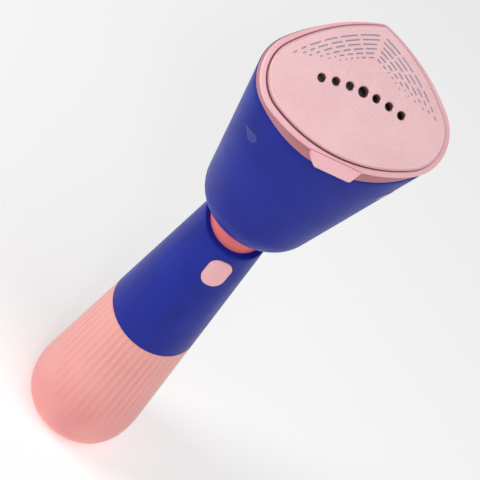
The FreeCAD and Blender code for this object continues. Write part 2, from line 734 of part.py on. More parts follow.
def make_pump():
    """Solenoid pump: body with two nipples, coil, steel yoke, moving plunger and its spring."""
    y, low = size.pump_offset, size.pump_base
    high = low + size.pump_length
    inner_low, inner_high = low + size.pump_end, high - size.pump_end
    spout = size.inlet_radius - size.hose_fit
    body = turned("pump", [
        (size.inlet_bore, low - size.nipple_length), (spout, low - size.nipple_length),
        (spout, low), (size.pump_radius, low), (size.pump_radius, high),
        (spout, high), (spout, high + size.nipple_length),
        (size.inlet_bore, high + size.nipple_length), (size.inlet_bore, inner_high),
        (size.pump_bore, inner_high), (size.pump_bore, inner_low), (size.inlet_bore, inner_low)])
    place(body, 0, y, 0)
    keep(body, "pump_body")
    coil_low = low + (size.pump_length - size.coil_length) / 2
    coil_high = coil_low + size.coil_length
    coil = turned("coil", [
        (size.pump_radius + 0.05, coil_low), (size.coil_radius, coil_low), (size.coil_radius, coil_high),
        (size.pump_radius + 0.05, coil_high)])
    place(coil, 0, y, 0)
    keep(coil, "pump_coil")
    thick = size.yoke_thickness
    reach = size.coil_radius + 0.1
    outer = block("yoke_outer", 2 * (reach + thick), 2 * size.pump_radius + 2,
                  size.coil_length + 2 * thick, 0, y, coil_low - thick)
    inner = block("yoke_inner", 2 * reach, 4 * size.pump_radius, size.coil_length, 0, y, coil_low)
    bore = cylinder("yoke_bore", size.pump_radius + 0.05, size.pump_length, 0, y, low)
    keep(cut("yoke", outer, inner, bore), "pump_yoke")
    plunger_low = inner_low + 6
    plunger = cylinder("pump_rod", size.pump_bore - size.pump_fit, size.plunger_length, 0, y, plunger_low)
    keep(plunger, "pump_plunger")
    keep(spring("pump_coil_spring", size.pump_bore - 2 * size.pump_wire, size.pump_wire,
                as_size(6) - 0.1, 4, 0, y, inner_low + 0.05), "pump_spring")


def make_hoses():
    """Silicone hoses from the dock to the pump and from the pump up to the steam chamber."""
    y = size.pump_offset
    start = size.dock_height + size.dock_thickness + size.hose_end_gap
    bend = size.hose_bend
    end = size.pump_base - size.hose_end_gap
    first = start + size.nipple_length + 2 * size.hose_end_gap + bend / 2
    second = size.pump_base - size.nipple_length - bend / 2
    lower = [(0, 0, start), (0, 0, first), (0, y, second), (0, y, end)]
    keep(hose("inlet", lower, [bend, bend]), "inlet_hose")
    top = size.pump_base + size.pump_length + size.hose_end_gap
    turn = top + size.nipple_length + bend
    upper = [(0, y, top), (0, y, turn), (0, 0, turn + 2 * bend), (0, 0, size.head_bottom + size.hose_rise),
             on_nozzle(size.nozzle_length + size.hose_rise / 3), on_nozzle(size.hose_end_gap)]
    keep(hose("outlet", upper, [3 * bend, 3 * bend, 6 * bend, 3 * bend]), "outlet_hose")


def hose(name, route, bends):
    outside = sweep(name + "_hose_outside", route, size.hose_radius, bends)
    inside = sweep(name + "_hose_inside", route, size.inlet_radius, bends)
    return cut(name + "_hose_cut", outside, inside)


def make_gland():
    """Rubber bush for the mains lead, through the back of the handle."""
    z = size.gland_height
    skin = cone_radius(z)
    inside = skin - size.handle_wall - size.gland_lip
    flange_radius = size.gland_radius + size.gland_flange
    seat = skin + slope * flange_radius + size.weld_gap
    barrel = cylinder("gland_barrel", size.gland_radius - size.weld_gap, size.gland_length, 0, inside - size.gland_lip, z,
                      (1, 0, 0), -90)
    collar = cone("gland_collar", flange_radius, size.gland_radius,
                  size.gland_proud, 0, seat, z, (1, 0, 0), -90)
    bore = cylinder("gland_way", size.gland_bore, size.cone_base_radius, 0, 0, z, (1, 0, 0), -90)
    keep(cut("gland", fuse("gland_solid", barrel, collar), bore), "cord_gland")


def make_collar(head):
    """Coral ring that plugs into the handle, with a threaded neck up into the head."""
    base, top = size.collar_base, size.head_bottom
    web_low = top - 6
    web_high = web_low + size.collar_web
    inner = size.collar_radius - size.collar_wall
    crown = top + 6
    ring = turned("collar_ring", [
        (inner, base), (size.collar_radius, base), (size.collar_radius, crown), (inner, crown)])
    notch_top = size.button_height + size.button_length / 2 + size.button_flange + 2 * size.button_gap
    notch = block("button_notch", size.button_width + 2 * size.button_flange + 4 * size.button_gap,
                  size.collar_radius, notch_top - base + 1, 0, -size.collar_radius, base - 1)
    trimmed = cut("collar_trimmed", ring, head, notch)
    neck = turned("collar_neck", [
        (size.neck_bore, web_low), (inner, web_low), (inner, web_high), (size.neck_radius, web_high),
        (size.neck_radius, top + size.head_wall + size.neck_rise),
        (size.neck_bore, top + size.head_wall + size.neck_rise)])
    keep(fuse("collar", trimmed, neck), "neck_collar")
    nut_low = top + size.head_wall + size.weld_gap
    thread = size.neck_radius + size.weld_gap
    nut = turned("nut", [
        (thread, nut_low), (size.nut_radius, nut_low),
        (size.nut_radius, nut_low + size.nut_thickness), (thread, nut_low + size.nut_thickness)])
    keep(nut, "neck_nut")


# ---------------------------------------------------------------- head

def head_form(name, inset):
    """Ruled loft: a rounded bottom, the widest ring, then straight to the tilted drop outline."""
    owner = new_body(name)
    radius = size.bottom_round - inset
    sections = []
    for angle in ROUND_ANGLES:
        shrink = radius * (sine(size.round_end) - sine(Size(angle)))
        lift = radius - radius * cosine(Size(angle))
        sections.append(ring_section(owner, f"{name}_round{angle}", inset, shrink, lift))
    last = radius - radius * cosine(size.round_end)
    sections.append(ring_section(owner, name + "_ring", inset, as_size(0), last))
    depth = size.head_depth
    rim = new_sketch(owner, name + "_rim", y=depth * sine(size.plate_tilt),
                     z=size.plate_height - depth * cosine(size.plate_tilt), tilt=size.plate_tilt)
    plate_drop(rim, size.head_grow - inset, size.head_front, size.back_ease)
    doc.recompute()
    feature(owner, "PartDesign::AdditiveLoft", name + "_loft", sections[0], Sections=sections[1:] + [rim],
            Ruled=True)
    doc.recompute()
    return owner


ROUND_ANGLES = (0, 9, 18, 27, 36, 45, 54, 63, 70)


def ring_section(owner, name, inset, shrink, lift):
    """A nearly round outline whose arcs meet at the same bearings as the soleplate's arcs."""
    corner_x = size.plate_half_width - size.plate_corner
    tip_y = size.plate_apex - size.plate_point
    bottom = size.plate_bottom - size.head_front
    fall = size.plate_wide_at - bottom
    belly = (corner_x * corner_x + fall * fall - size.plate_corner * size.plate_corner) / (
        2 * (fall - size.plate_corner))
    belly_y = bottom + belly
    ease = size.ring_ease / corner_x
    radius = size.ring_radius
    middle = size.ring_centre - size.plate_wide_at * ease

    def height(y):
        return middle + y * ease

    corner = radius - size.ring_ease
    side = corner + (size.plate_side - size.plate_corner) * ease
    point = side - (size.plate_side - size.plate_point + size.back_ease) * ease
    base = corner + (belly - size.plate_corner) * ease
    grow = -inset - shrink
    sketch = new_sketch(owner, name, z=size.head_bottom + inset + lift)
    drop(sketch, radius + grow, height(tip_y) + point + grow, height(belly_y) - base - grow,
         size.ring_centre, corner + grow, side + grow, point + grow)
    return sketch


def lens_prism(name, side, grow):
    """A drop-shaped prism square to the head's wall, its point up and towards the back."""
    owner = new_body(name)
    sketch = new_sketch(owner, name + "_outline", "YZ_Plane")
    sketch.AttachmentOffset = Placement(Vector(), Rotation(Vector(0, 0, 1), size.lens_turn.value))
    bind(sketch, "AttachmentOffset.Rotation.Angle", size.lens_turn)
    radius = size.lens_radius + grow
    length = size.lens_length - size.lens_radius
    point = length + grow * length / size.lens_radius
    angle = math.acos(size.lens_radius.value / length.value)
    tip = Vector(0, point.value, 0)
    shoulder = Vector(radius.value * math.sin(angle), radius.value * math.cos(angle), 0)
    left = Vector(-shoulder.x, shoulder.y, 0)
    quarter = math.pi / 2
    sketch.addGeometry([arc((0, 0), radius.value, quarter + angle, 5 * quarter - angle),
                        Part.LineSegment(shoulder, tip), Part.LineSegment(tip, left)], False)
    for first, second in ((0, 1), (2, 0)):
        sketch.addConstraint(Sketcher.Constraint("Tangent", first, END, second, START))
    sketch.addConstraint(Sketcher.Constraint("Coincident", 1, END, 2, START))
    sketch.addConstraint(Sketcher.Constraint("Coincident", 0, CENTRE, ORIGIN, START))
    dimension(sketch, "Radius", 0, number=radius)
    pin_point(sketch, 1, END, 0, point)
    doc.recompute()
    through = pad(owner, sketch, size.lens_reach)
    through.Midplane = True
    doc.recompute()
    return place(owner, side * size.lens_x, size.lens_y, size.lens_z, (0, 0, 1), -side * size.lens_heading)


def make_head_shell(outside):
    """Blue shell, open at the top, with the neck hole and two flush indicator windows."""
    wall = cut("head_wall_blank", outside, head_form("head_inner", size.head_wall))
    neck = cylinder("neck_hole", size.neck_radius + size.neck_fit, 30, 0, 0, size.head_bottom - 10)
    seats = [lens_prism(f"lens_seat_{name}", side, size.lens_gap) for name, side in SIDES]
    keep(cut("head", wall, neck, *seats), "head_shell")
    for name, side in SIDES:
        keep(common(f"lens_{name}", wall, lens_prism(f"lens_core_{name}", side, as_size(0))),
             f"{name}_indicator_lens")


SIDES = (("left", -1), ("right", 1))


def on_plate(item, x=0, y=0, depth=0):
    """Moves a body drawn in the soleplate's own frame to its place in the head."""
    x, y, depth = as_size(x), as_size(y), as_size(depth)
    tilt = size.plate_tilt
    return place(item, x, y * cosine(tilt) + depth * sine(tilt),
                 size.plate_height + y * sine(tilt) - depth * cosine(tilt), (1, 0, 0), tilt)


def plate_prism(name, grow, top, thickness, hollow=None, back=None):
    """A slab or ring with the soleplate's outline, hanging down from a depth."""
    owner = new_body(name)
    sketch = new_sketch(owner, name + "_outline", z=-as_size(top))
    plate_drop(sketch, as_size(grow), back=back)
    doc.recompute()
    pad(owner, sketch, as_size(thickness), reverse=True)
    if hollow is not None:
        inner = new_sketch(owner, name + "_hollow", z=-as_size(top))
        plate_drop(inner, as_size(hollow))
        doc.recompute()
        pocket(owner, inner)
    doc.recompute()
    return owner


def hole_centres():
    """The seven steam holes lie on a shallow bow; the middle one is larger."""
    for index in range(-3, 4):
        x = size.hole_pitch * index
        y = size.hole_row - size.hole_bow * (index * index)
        radius = size.hole_radius if index else size.centre_hole_radius
        yield (x if index else as_size(0)), y, radius


def make_soleplate():
    owner = plate_prism("sole", 0, 0, size.plate_thickness)
    round_edges(owner, size.plate_edge, level(0))
    holes = new_sketch(owner, "steam_holes")
    for x, y, radius in hole_centres():
        circle(holes, radius, x, y)
    doc.recompute()
    pocket(owner, holes)
    doc.recompute()
    round_edges(owner, size.hole_chamfer,
                lambda middle, edge: edge.Closed and abs(middle.z) < 0.01 and edge.Length < 20, "Chamfer")
    on_plate(owner)
    keep(owner, "soleplate")


def make_rim():
    """Light lip around the plate, darker band under it, and the catch tab at the front."""
    lip_height = size.plate_thickness - size.rim_drop
    lip = plate_prism("lip", size.rim_grow, size.rim_drop, lip_height, size.rim_gap, size.back_ease)
    round_edges(lip, size.rim_edge, level(-size.rim_drop), "Chamfer")
    on_plate(lip)
    room = tab_plan("tab_room", size.tab_gap)
    keep(cut("lip_cut", lip, room), "rim_lip")
    band = band_form("band", as_size(0))
    skirt = new_sketch(band, "band_skirt", z=-size.head_depth)
    plate_drop(skirt, size.skirt_grow)
    doc.recompute()
    pad(band, skirt, size.skirt_depth, reverse=True)
    opening = new_sketch(band, "band_opening")
    plate_drop(opening, size.flange_grow)
    doc.recompute()
    pocket(band, opening)
    doc.recompute()
    keep(band, "rim_band")
    wedge = common("tab_wedge", tab_plan("tab_plan", as_size(0)), tab_side())
    keep(cut("tab", wedge, band_form("band_seat", size.seat_gap)), "front_tab")


def band_form(name, grow):
    """The band's flank, from under the lip down to the top edge of the head."""
    band = new_body(name)
    upper = new_sketch(band, name + "_upper", z=-size.plate_thickness)
    plate_drop(upper, size.band_top_grow + grow, back=size.back_ease)
    lower = new_sketch(band, name + "_lower", z=-size.head_depth)
    plate_drop(lower, size.band_grow + grow, size.band_front, size.back_ease)
    doc.recompute()
    feature(band, "PartDesign::AdditiveLoft", name + "_loft", upper, Sections=[lower], Ruled=True)
    doc.recompute()
    return on_plate(band)


def tab_plan(name, grow):
    """The tab seen square on to the soleplate: a trapezoid with rounded outer corners."""
    owner = new_body(name)
    sketch = new_sketch(owner, name + "_outline", z=grow - size.rim_drop)
    root_y = size.plate_bottom - size.tab_root + grow
    foot_y = size.plate_bottom - size.tab_root - size.tab_length - grow
    wide, foot = size.tab_width / 2 + grow, size.tab_foot / 2 + grow
    polygon(sketch, [(-foot, foot_y), (foot, foot_y), (wide, root_y), (-wide, root_y)])
    doc.recompute()
    pad(owner, sketch, size.head_depth, reverse=True)
    corner = size.tab_corner + grow
    round_edges(owner, corner, lambda middle, edge: abs(middle.y - foot_y.value) < 0.01
                and abs(abs(middle.x) - foot.value) < 0.01)
    return on_plate(owner)


def tab_side():
    """The tab seen from the side: a thin outer edge that thickens towards the band."""
    owner = new_body("tab_side")
    sketch = new_sketch(owner, "tab_side_outline", "YZ_Plane")
    root_y = size.plate_bottom - size.tab_root
    foot_y = root_y - size.tab_length
    top = -size.rim_drop
    polygon(sketch, [(root_y, top), (foot_y, top), (foot_y, top - size.tab_edge),
                     (foot_y + size.tab_slope, top - size.tab_depth), (root_y, top - size.tab_depth)])
    doc.recompute()
    item = pad(owner, sketch, size.tab_width * 2)
    item.Midplane = True
    doc.recompute()
    return on_plate(owner)


def make_steam_chamber():
    """Cast chamber under the plate, its gasket, the bent element and the safety parts."""
    top = size.plate_thickness + size.gasket_thickness
    gasket = plate_prism("gasket", size.chamber_grow, size.plate_thickness, size.gasket_thickness,
                         size.chamber_grow - size.chamber_wall)
    on_plate(gasket)
    keep(gasket, "chamber_gasket")
    chamber = plate_prism("chamber", size.chamber_grow, top, size.chamber_depth)
    cavity = new_sketch(chamber, "chamber_cavity", z=-top)
    plate_drop(cavity, size.chamber_grow - size.chamber_wall)
    doc.recompute()
    pocket(chamber, cavity, size.cavity_depth)
    inlet = new_sketch(chamber, "chamber_inlet")
    circle(inlet, size.inlet_radius, 0, size.nozzle_y)
    doc.recompute()
    pocket(chamber, inlet)
    doc.recompute()
    on_plate(chamber)
    keep(chamber, "steam_chamber")
    make_element(top + size.chamber_depth)


def on_nozzle(reach):
    """A point on the axis of the chamber's water nipple, a distance under the chamber."""
    depth = size.plate_thickness + size.gasket_thickness + size.chamber_depth + reach
    tilt = size.plate_tilt
    return (as_size(0), size.nozzle_y * cosine(tilt) + depth * sine(tilt),
            size.plate_height + size.nozzle_y * sine(tilt) - depth * cosine(tilt))


def make_element(floor):
    """U-shaped heating rod with its two terminals, thermostat, fuse, nipple and heat shield."""
    y_front = size.plate_wide_at - 6
    centre = floor + size.element_radius + size.element_gap
    half, leg = size.element_half_span, size.element_leg
    lead = as_size(y_front) + leg
    rod = sweep("element_rod", [(-half, lead, -centre), (-half, y_front - 6, -centre),
                                (half, y_front - 6, -centre), (half, lead, -centre)],
                size.element_radius, [9.0, 9.0])
    on_plate_shape(rod)
    keep(rod, "heating_element")
    ends = []
    for name, side in SIDES:
        pin = cylinder(f"terminal_{name}", size.terminal_radius, size.terminal_length,
                       half * side, lead, -centre, (1, 0, 0), -90)
        ends.append(pin)
    terminals = group("terminals", *ends)
    on_plate(terminals)
    keep(terminals, "element_terminals")
    disc = turned("thermostat_disc", [(0, -floor - size.thermostat_height), (size.thermostat_radius,
                  -floor - size.thermostat_height), (size.thermostat_radius, -floor), (0, -floor)])
    on_plate(disc, 0, y_front + 5)
    keep(disc, "thermostat")
    fuse_rod = cylinder("fuse_rod", size.fuse_radius, size.fuse_length, 0, 0, 0, (0, 1, 0), 90)
    holder = group("fuse_holder", fuse_rod)
    on_plate(holder, size.fuse_length / -2, -size.fuse_radius, floor + size.fuse_radius + 0.05)
    keep(holder, "thermal_fuse")
    spout = size.inlet_radius - size.hose_fit
    nipple = turned("nipple", [
        (size.inlet_bore, -floor - size.nozzle_length), (spout, -floor - size.nozzle_length),
        (spout, -floor + 4), (size.inlet_bore, -floor + 4)])
    on_plate(nipple, 0, size.nozzle_y)
    keep(nipple, "chamber_nipple")
    below = floor + 2 * size.element_radius + size.shield_gap
    shield = plate_prism("shield", size.shield_grow, below, size.shield_thickness)
    window = new_sketch(shield, "shield_window")
    circle(window, size.hose_radius * 1.6, 0, size.nozzle_y)
    for x, y in post_centres():
        circle(window, size.screw_radius + 0.1, x, y)
    doc.recompute()
    pocket(shield, window)
    doc.recompute()
    on_plate(shield)
    keep(shield, "heat_shield")
    make_posts(floor, below)


def post_centres():
    """A spacer outside each leg of the element holds the heat shield under the chamber."""
    reach = size.element_half_span + size.element_radius + 2 * size.post_radius
    return (reach, size.plate_wide_at), (-reach, size.plate_wide_at)


def make_posts(floor, below):
    spacers, screws = [], []
    for index, (x, y) in enumerate(post_centres()):
        tube = turned(f"spacer_{index}", [
            (size.screw_radius + 0.1, -below), (size.post_radius, -below), (size.post_radius, -floor),
            (size.screw_radius + 0.1, -floor)])
        spacers.append(on_plate(tube, x, y))
        low = below + size.shield_thickness
        screw = turned(f"shield_screw_{index}", [
            (0, -low - size.screw_head_height), (size.screw_head, -low - size.screw_head_height),
            (size.screw_head, -low), (size.screw_radius, -low), (size.screw_radius, -floor), (0, -floor)])
        screws.append(on_plate(screw, x, y))
    keep(group("spacers", *spacers), "shield_spacers")
    keep(group("shield_screw_set", *screws), "shield_screws")


def on_plate_shape(item):
    """Places a shape drawn in the soleplate's frame."""
    turn = Rotation(Vector(1, 0, 0), size.plate_tilt.value)
    item.Placement = Placement(Vector(0, 0, size.plate_height.value), turn)


def main():
    make_tank_shell()
    make_tank_lid()
    make_tank_seal()
    make_tank_plug()
    make_valve()
    make_pickup()
    make_handle_shell()
    make_button()
    make_board()
    make_dock()
    make_spine()
    make_pump()
    make_gland()
    head = head_form("head_outside", as_size(0))
    make_collar(head)
    make_head_shell(head)
    make_soleplate()
    make_rim()
    make_steam_chamber()
    make_hoses()
    doc.recompute()
    check_and_write()


def check_and_write():
    """Stops on any failed object or bad shape, then writes one file per sub-part."""
    failed = [item.Name for item in doc.Objects if {"Invalid", "Error"} & set(item.State)]
    if failed:
        raise RuntimeError("failed objects: " + ", ".join(failed))
    for item in pieces:
        if item.Shape.isNull() or not item.Shape.isValid() or not item.Shape.Solids:
            raise RuntimeError("bad shape: " + item.Label)
    os.makedirs("parts", exist_ok=True)
    for item in pieces:
        item.Shape.exportStep(f"parts/{item.Label}.step")
        print(item.Label, round(item.Shape.Volume, 1), len(item.Shape.Solids))


main()
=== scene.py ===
import json
import math

import bmesh
import bpy
from mathutils import Matrix, Vector
from mathutils.bvhtree import BVHTree


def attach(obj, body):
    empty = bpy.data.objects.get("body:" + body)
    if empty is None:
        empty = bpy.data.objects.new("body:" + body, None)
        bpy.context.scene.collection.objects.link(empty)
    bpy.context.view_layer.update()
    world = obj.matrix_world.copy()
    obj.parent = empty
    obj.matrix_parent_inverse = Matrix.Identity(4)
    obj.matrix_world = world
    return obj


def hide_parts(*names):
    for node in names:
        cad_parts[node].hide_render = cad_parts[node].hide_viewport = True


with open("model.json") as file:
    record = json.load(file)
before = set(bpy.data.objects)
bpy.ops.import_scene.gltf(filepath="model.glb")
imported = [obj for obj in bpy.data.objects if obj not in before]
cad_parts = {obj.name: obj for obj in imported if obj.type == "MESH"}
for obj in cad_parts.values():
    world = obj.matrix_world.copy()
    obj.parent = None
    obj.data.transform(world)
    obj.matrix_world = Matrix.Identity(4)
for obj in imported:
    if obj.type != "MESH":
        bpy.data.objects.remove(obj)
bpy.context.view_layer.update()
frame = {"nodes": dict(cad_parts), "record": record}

# Hand-held garment steamer, in metres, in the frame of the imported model: +Z runs up the
# handle, -Y is the front. Sizes of new pieces are written in millimetres.

MM = 0.001
NODES = frame["nodes"]
WELD = 0.002 * MM               # points nearer than this are one point

# ---------------------------------------------------------------- sizes in millimetres

PLATE_HEIGHT = 268.3            # the soleplate's centre above the foot
PLATE_TILT = math.radians(33.3)
PLATE_HALF_WIDTH = 42.8
PLATE_APEX = 25.7
PLATE_FRONT = -34.3
WIDE_AT = -10.6                 # height of the corner arcs' centres on the plate
CORNER_RADIUS = 17.3
FLANK_RADIUS = 86.0
TIP_RADIUS = 4.0

HEAD_BOTTOM = 167.8
HEAD_ROUND = 18.0               # radius of the head's rounded bottom
HEAD_FLAT = 10.1                # radius of the flat in the middle of it
HEAD_WALL = 2.2
HEAD_GROW = 3.09                # how far the head's top edge stands outside the soleplate
HEAD_FRONT = 3.2                # and how much further at the front
BACK_EASE = 1.6                 # and how much less at the tip
HEAD_DEPTH = 7.0                # under the soleplate's face
RING_EASE = 0.0588              # share of the drop outline left in the round bottom
RING_CENTRE = -0.6

LIP_ROUND = 0.4                 # rounding of the head's top edge
EDGE_RINGS = ((0.0015, 0.12), (0.006, 0.0))     # share down the wall and inset of that rounding
LEAN_SHARE = 0.85               # where on the bottom's arc a station's wall takes its lean
WALL_RINGS = 16
INNER_RINGS = 6
INNER_WALL_SHARES = (0.6, 0.3)
NECK_HOLE = 7.7                 # radius of the hole in the head's bottom

LENS_CENTRE = (32.0, -19.2, 230.5)
LENS_RADIUS = 2.75
LENS_LENGTH = 9.4
LENS_TURN = math.radians(-69)   # its point up and towards the back
LENS_HEADING = math.radians(50.3)
LENS_REACH = 25.0               # how far outside the wall the projection starts
LENS_GAP = 0.05
JOINT_WIDTH = 0.28
# Share of the outline, offset and height of each ring; a window runs up to its crown.
WINDOW_RINGS = ((1, -LENS_GAP, -0.4), (1, -LENS_GAP, 0.02), (0.985, -LENS_GAP, 0.09),
                (0.94, 0, 0.13), (0.8, 0, 0.15), (0.5, 0, 0.16), (0.15, 0, 0.16))
JOINT_RINGS = ((1, -LENS_GAP, -0.3), (1, JOINT_WIDTH, -0.3),
               (1, JOINT_WIDTH, 0.03), (1, -LENS_GAP, 0.03))
ROUND_STEPS = 32
SIDE_STEPS = 10

TANK_BASE_RADIUS = 29.5         # the cone that the handle and the tank share
CONE_SLOPE = 12.5 / 161.0
SPLIT_HEIGHT = 86.6
SPLIT_TILT = math.radians(5.0)
TANK_WALL = 2.0
# Radius and height of points from the middle of the foot out to the cone, and of the inner floor.
TANK_FOOT = ((0.0, 0.0), (14.4, 0.0), (15.6, 0.06), (16.9, 0.3), (18.1, 0.75), (19.4, 1.45),
             (20.9, 2.5), (22.3, 3.75), (23.6, 5.25), (24.8, 7.1), (25.8, 9.2), (26.6, 11.6),
             (27.2, 14.2), (27.55, 17.0), (27.72, 20.0))
TANK_FLOOR = ((22.6, 9.6), (20.8, 6.8), (18.4, 4.4), (14.4, 2.7), (0.0, 2.6))
CONE_HEIGHTS = range(24, 104, 8)
INNER_START = 11                # the inside follows the outside from this point on
RIB_COUNT = 44
RIB_DEPTH = 0.10
RIB_FADE_LOW = 14.0             # the ribs are gone below this height
RIB_FADE_HIGH = 60.0            # and full above this one
STEPS_PER_RIB = 8
OUTER_SKIN = 0.1                # points this near the cone belong to the outer wall

DASH_ROWS = (4.4, 6.35, 8.3, 10.2, 12.05, 13.9)     # distance in from the plate's edge
DASH_LENGTHS = ((9.0, 8.0, 6.0, 5.3, 2.5, 1.9), (7.9, 6.8, 5.0, 4.5, 2.1, 1.5),
                (6.3, 5.7, 4.2, 4.0, 1.8, 1.3), (4.9, 4.4, 3.4, 3.0, 1.3, 1.1),
                (3.7, 3.2, 2.4, 2.1, 0.6, 0.6), (2.3, 1.9, 0.9, 1.0, 0.7, 0.6))
DASH_GAPS = (0.5, 1.35, 1.5, 1.75, 1.85, 2.1)       # before each dash of a row
DASH_WIDTH = 0.62
DASH_STEPS = 4
INK_THICKNESS = 0.05

COIL_SCALE = 1 / (0.5 * MM) / 6.28      # the wave texture makes 20 / (2 pi) bands per unit


# ---------------------------------------------------------------- materials

def linear(code):
    """An sRGB hex colour as linear RGBA."""
    channels = [int(code[start:start + 2], 16) / 255 for start in (0, 2, 4)]
    return [c / 12.92 if c <= 0.04045 else ((c + 0.055) / 1.055) ** 2.4 for c in channels] + [1.0]


def add(tree, kind, inputs=(), **settings):
    """Adds a node, sets its own settings and fills or links its inputs."""
    node = tree.nodes.new("ShaderNode" + kind)
    for key, value in settings.items():
        setattr(node, key, value)
    for key, value in dict(inputs).items():
        if isinstance(value, bpy.types.NodeSocket):
            tree.links.new(value, node.inputs[key])
        else:
            node.inputs[key].default_value = value
    return node


def start_material(name):
    """An empty material, its node tree, and the object coordinates that patterns read."""
    material = bpy.data.materials.new(name)
    material.use_nodes = True
    tree = material.node_tree
    tree.nodes.clear()
    place = add(tree, "TexCoord").outputs["Object"]
    return material, tree, place


def noise(tree, place, feature_mm, detail=2.0, stretch=None):
    """Noise whose features are about that many millimetres across."""
    where = place
    if stretch:
        where = add(tree, "Mapping", {"Vector": place, "Scale": stretch}).outputs["Vector"]
    scale = 1.0 / (feature_mm * MM)
    return add(tree, "TexNoise", {"Vector": where, "Scale": scale, "Detail": detail}).outputs["Fac"]


def spread(tree, factor, low, high):
    """A factor stretched from its useful middle to a range of values."""
    return add(tree, "MapRange", {"Value": factor, "From Min": 0.3, "From Max": 0.7,
                                  "To Min": low, "To Max": high}).outputs["Result"]


def two_tone(tree, factor, dark, light):
    """Colour that drifts between two hex values."""
    ramp = add(tree, "ValToRGB", {"Fac": factor})
    ramp.color_ramp.elements[0].position = 0.35
    ramp.color_ramp.elements[1].position = 0.65
    ramp.color_ramp.elements[0].color = linear(dark)
    ramp.color_ramp.elements[1].color = linear(light)
    return ramp.outputs["Color"]


def mix(tree, factor, first, second):
    """One colour laid over another by a factor."""
    node = tree.nodes.new("ShaderNodeMix")
    node.data_type = "RGBA"
    for index, value in ((0, factor), (6, first), (7, second)):
        if isinstance(value, bpy.types.NodeSocket):
            tree.links.new(value, node.inputs[index])
        else:
            node.inputs[index].default_value = value
    return node.outputs[2]


def finish_material(material, tree, colour, roughness, height=None, depth_mm=0.02, **shader):
    """Joins colour, roughness and relief in one shader."""
    inputs = {"Base Color": colour, "Roughness": roughness}
    if height is not None:
        inputs["Normal"] = add(tree, "Bump", {"Height": height, "Strength": 1.0,
                                              "Distance": depth_mm * MM}).outputs["Normal"]
    principled = add(tree, "BsdfPrincipled", inputs)
    for key, value in shader.items():
        principled.inputs[key.replace("_", " ")].default_value = value
    add(tree, "OutputMaterial", {"Surface": principled.outputs["BSDF"]})
    return material


def moulded_plastic(name, dark, light, rough, grain_mm=0.5, grain_depth=0.006, **shader):
    """Injection-moulded plastic: faint flow marks in its colour and an even spark-eroded grain."""
    material, tree, place = start_material(name)
    drift = noise(tree, place, 22, 1.0)
    grain = noise(tree, place, grain_mm, 1.0)
    handling = noise(tree, place, 9, 3.0)
    return finish_material(material, tree, two_tone(tree, drift, dark, light),
                           spread(tree, handling, rough - 0.03, rough + 0.04),
                           grain, grain_depth, **shader)


def turned_metal(name, dark, light, rough, stretch):
    """Drawn or turned metal: fine streaks along one direction."""
    material, tree, place = start_material(name)
    streaks = noise(tree, place, 0.8, 3.0, stretch)
    return finish_material(material, tree, two_tone(tree, streaks, dark, light),
                           spread(tree, streaks, rough - 0.06, rough + 0.08), streaks, 0.01,
                           Metallic=1.0)


def cast_metal(name, dark, light, rough):
    """As-cast surface: coarse mottling and small pits."""
    material, tree, place = start_material(name)
    pits = noise(tree, place, 0.9, 4.0)
    return finish_material(material, tree, two_tone(tree, noise(tree, place, 5), dark, light),
                           spread(tree, pits, rough - 0.05, rough + 0.1), pits, 0.05,
                           Metallic=1.0)


def soleplate_coating():
    """Pearl-pink ceramic coat sprayed on aluminium: fine bright and dark flakes in a satin coat.

    The real flakes are a tenth of a millimetre, too fine to show, so they are drawn at 0.5 mm.
    """
    material, tree, place = start_material("pearl_ceramic_coat_on_aluminium")
    base = two_tone(tree, noise(tree, place, 14, 2.0), "EDBCC2", "F3C7CA")
    flakes = noise(tree, place, 0.5, 2.0)
    specks = two_tone(tree, flakes, "DCA2AB", "FBDBDA")
    coat = mix(tree, 0.4, base, specks)
    # Faces that turn away from the plate's face, its side wall and the walls of its holes, are
    # mixed towards a darker brown: painted shade.
    facing = add(tree, "VectorMath", {0: add(tree, "TexCoord").outputs["Normal"],
                                      1: (0, -math.sin(PLATE_TILT), math.cos(PLATE_TILT))},
                 operation="DOT_PRODUCT").outputs["Value"]
    side = add(tree, "MapRange", {"Value": facing, "From Min": 0.1, "From Max": 0.5,
                                  "To Min": 0.7, "To Max": 0.0}).outputs["Result"]
    painted_side_shade = two_tone(tree, flakes, "8A5C5E", "A4777A")
    return finish_material(material, tree, mix(tree, side, coat, painted_side_shade),
                           spread(tree, flakes, 0.36, 0.48), flakes, 0.004, Metallic=0.25)


def tinted_tank():
    """Salmon-tinted polypropylene: light soaks into it, and the moulded ribs show as soft bands,
    paler on their crests as painted light.
    """
    material, tree, place = start_material("tinted_polypropylene")
    drift = noise(tree, place, 26, 1.0)
    cloud = noise(tree, place, 1.2, 2.0)
    ribs = add(tree, "Attribute", attribute_name="rib").outputs["Fac"]
    base = two_tone(tree, drift, "F99C9C", "FFACA5")
    # The rib crests are mixed towards a paler pink: painted light standing in for the light that
    # the ribs catch.
    painted_rib_light = mix(tree, ribs, base, linear("FFB7AD"))
    return finish_material(material, tree, painted_rib_light, spread(tree, drift, 0.32, 0.40),
                           cloud, 0.003, IOR=1.36, Subsurface_Weight=0.1, Subsurface_Scale=0.004,
                           Subsurface_Radius=(1.0, 0.35, 0.3))


def wound_copper():
    """Enamelled winding wire: stacked turns that read about 1 mm high, with a painted highlight on
    their crowns and painted shade between them.
    """
    material, tree, place = start_material("enamelled_copper_wire")
    turns = add(tree, "TexWave", {"Vector": place, "Scale": COIL_SCALE, "Distortion": 0.2},
                bands_direction="Z").outputs["Fac"]
    # Dark between the turns and light on their crowns: painted shade and painted highlight.
    return finish_material(material, tree, two_tone(tree, turns, "6E2C12", "C66A35"),
                           spread(tree, turns, 0.25, 0.4), turns, 0.1, Metallic=0.8)


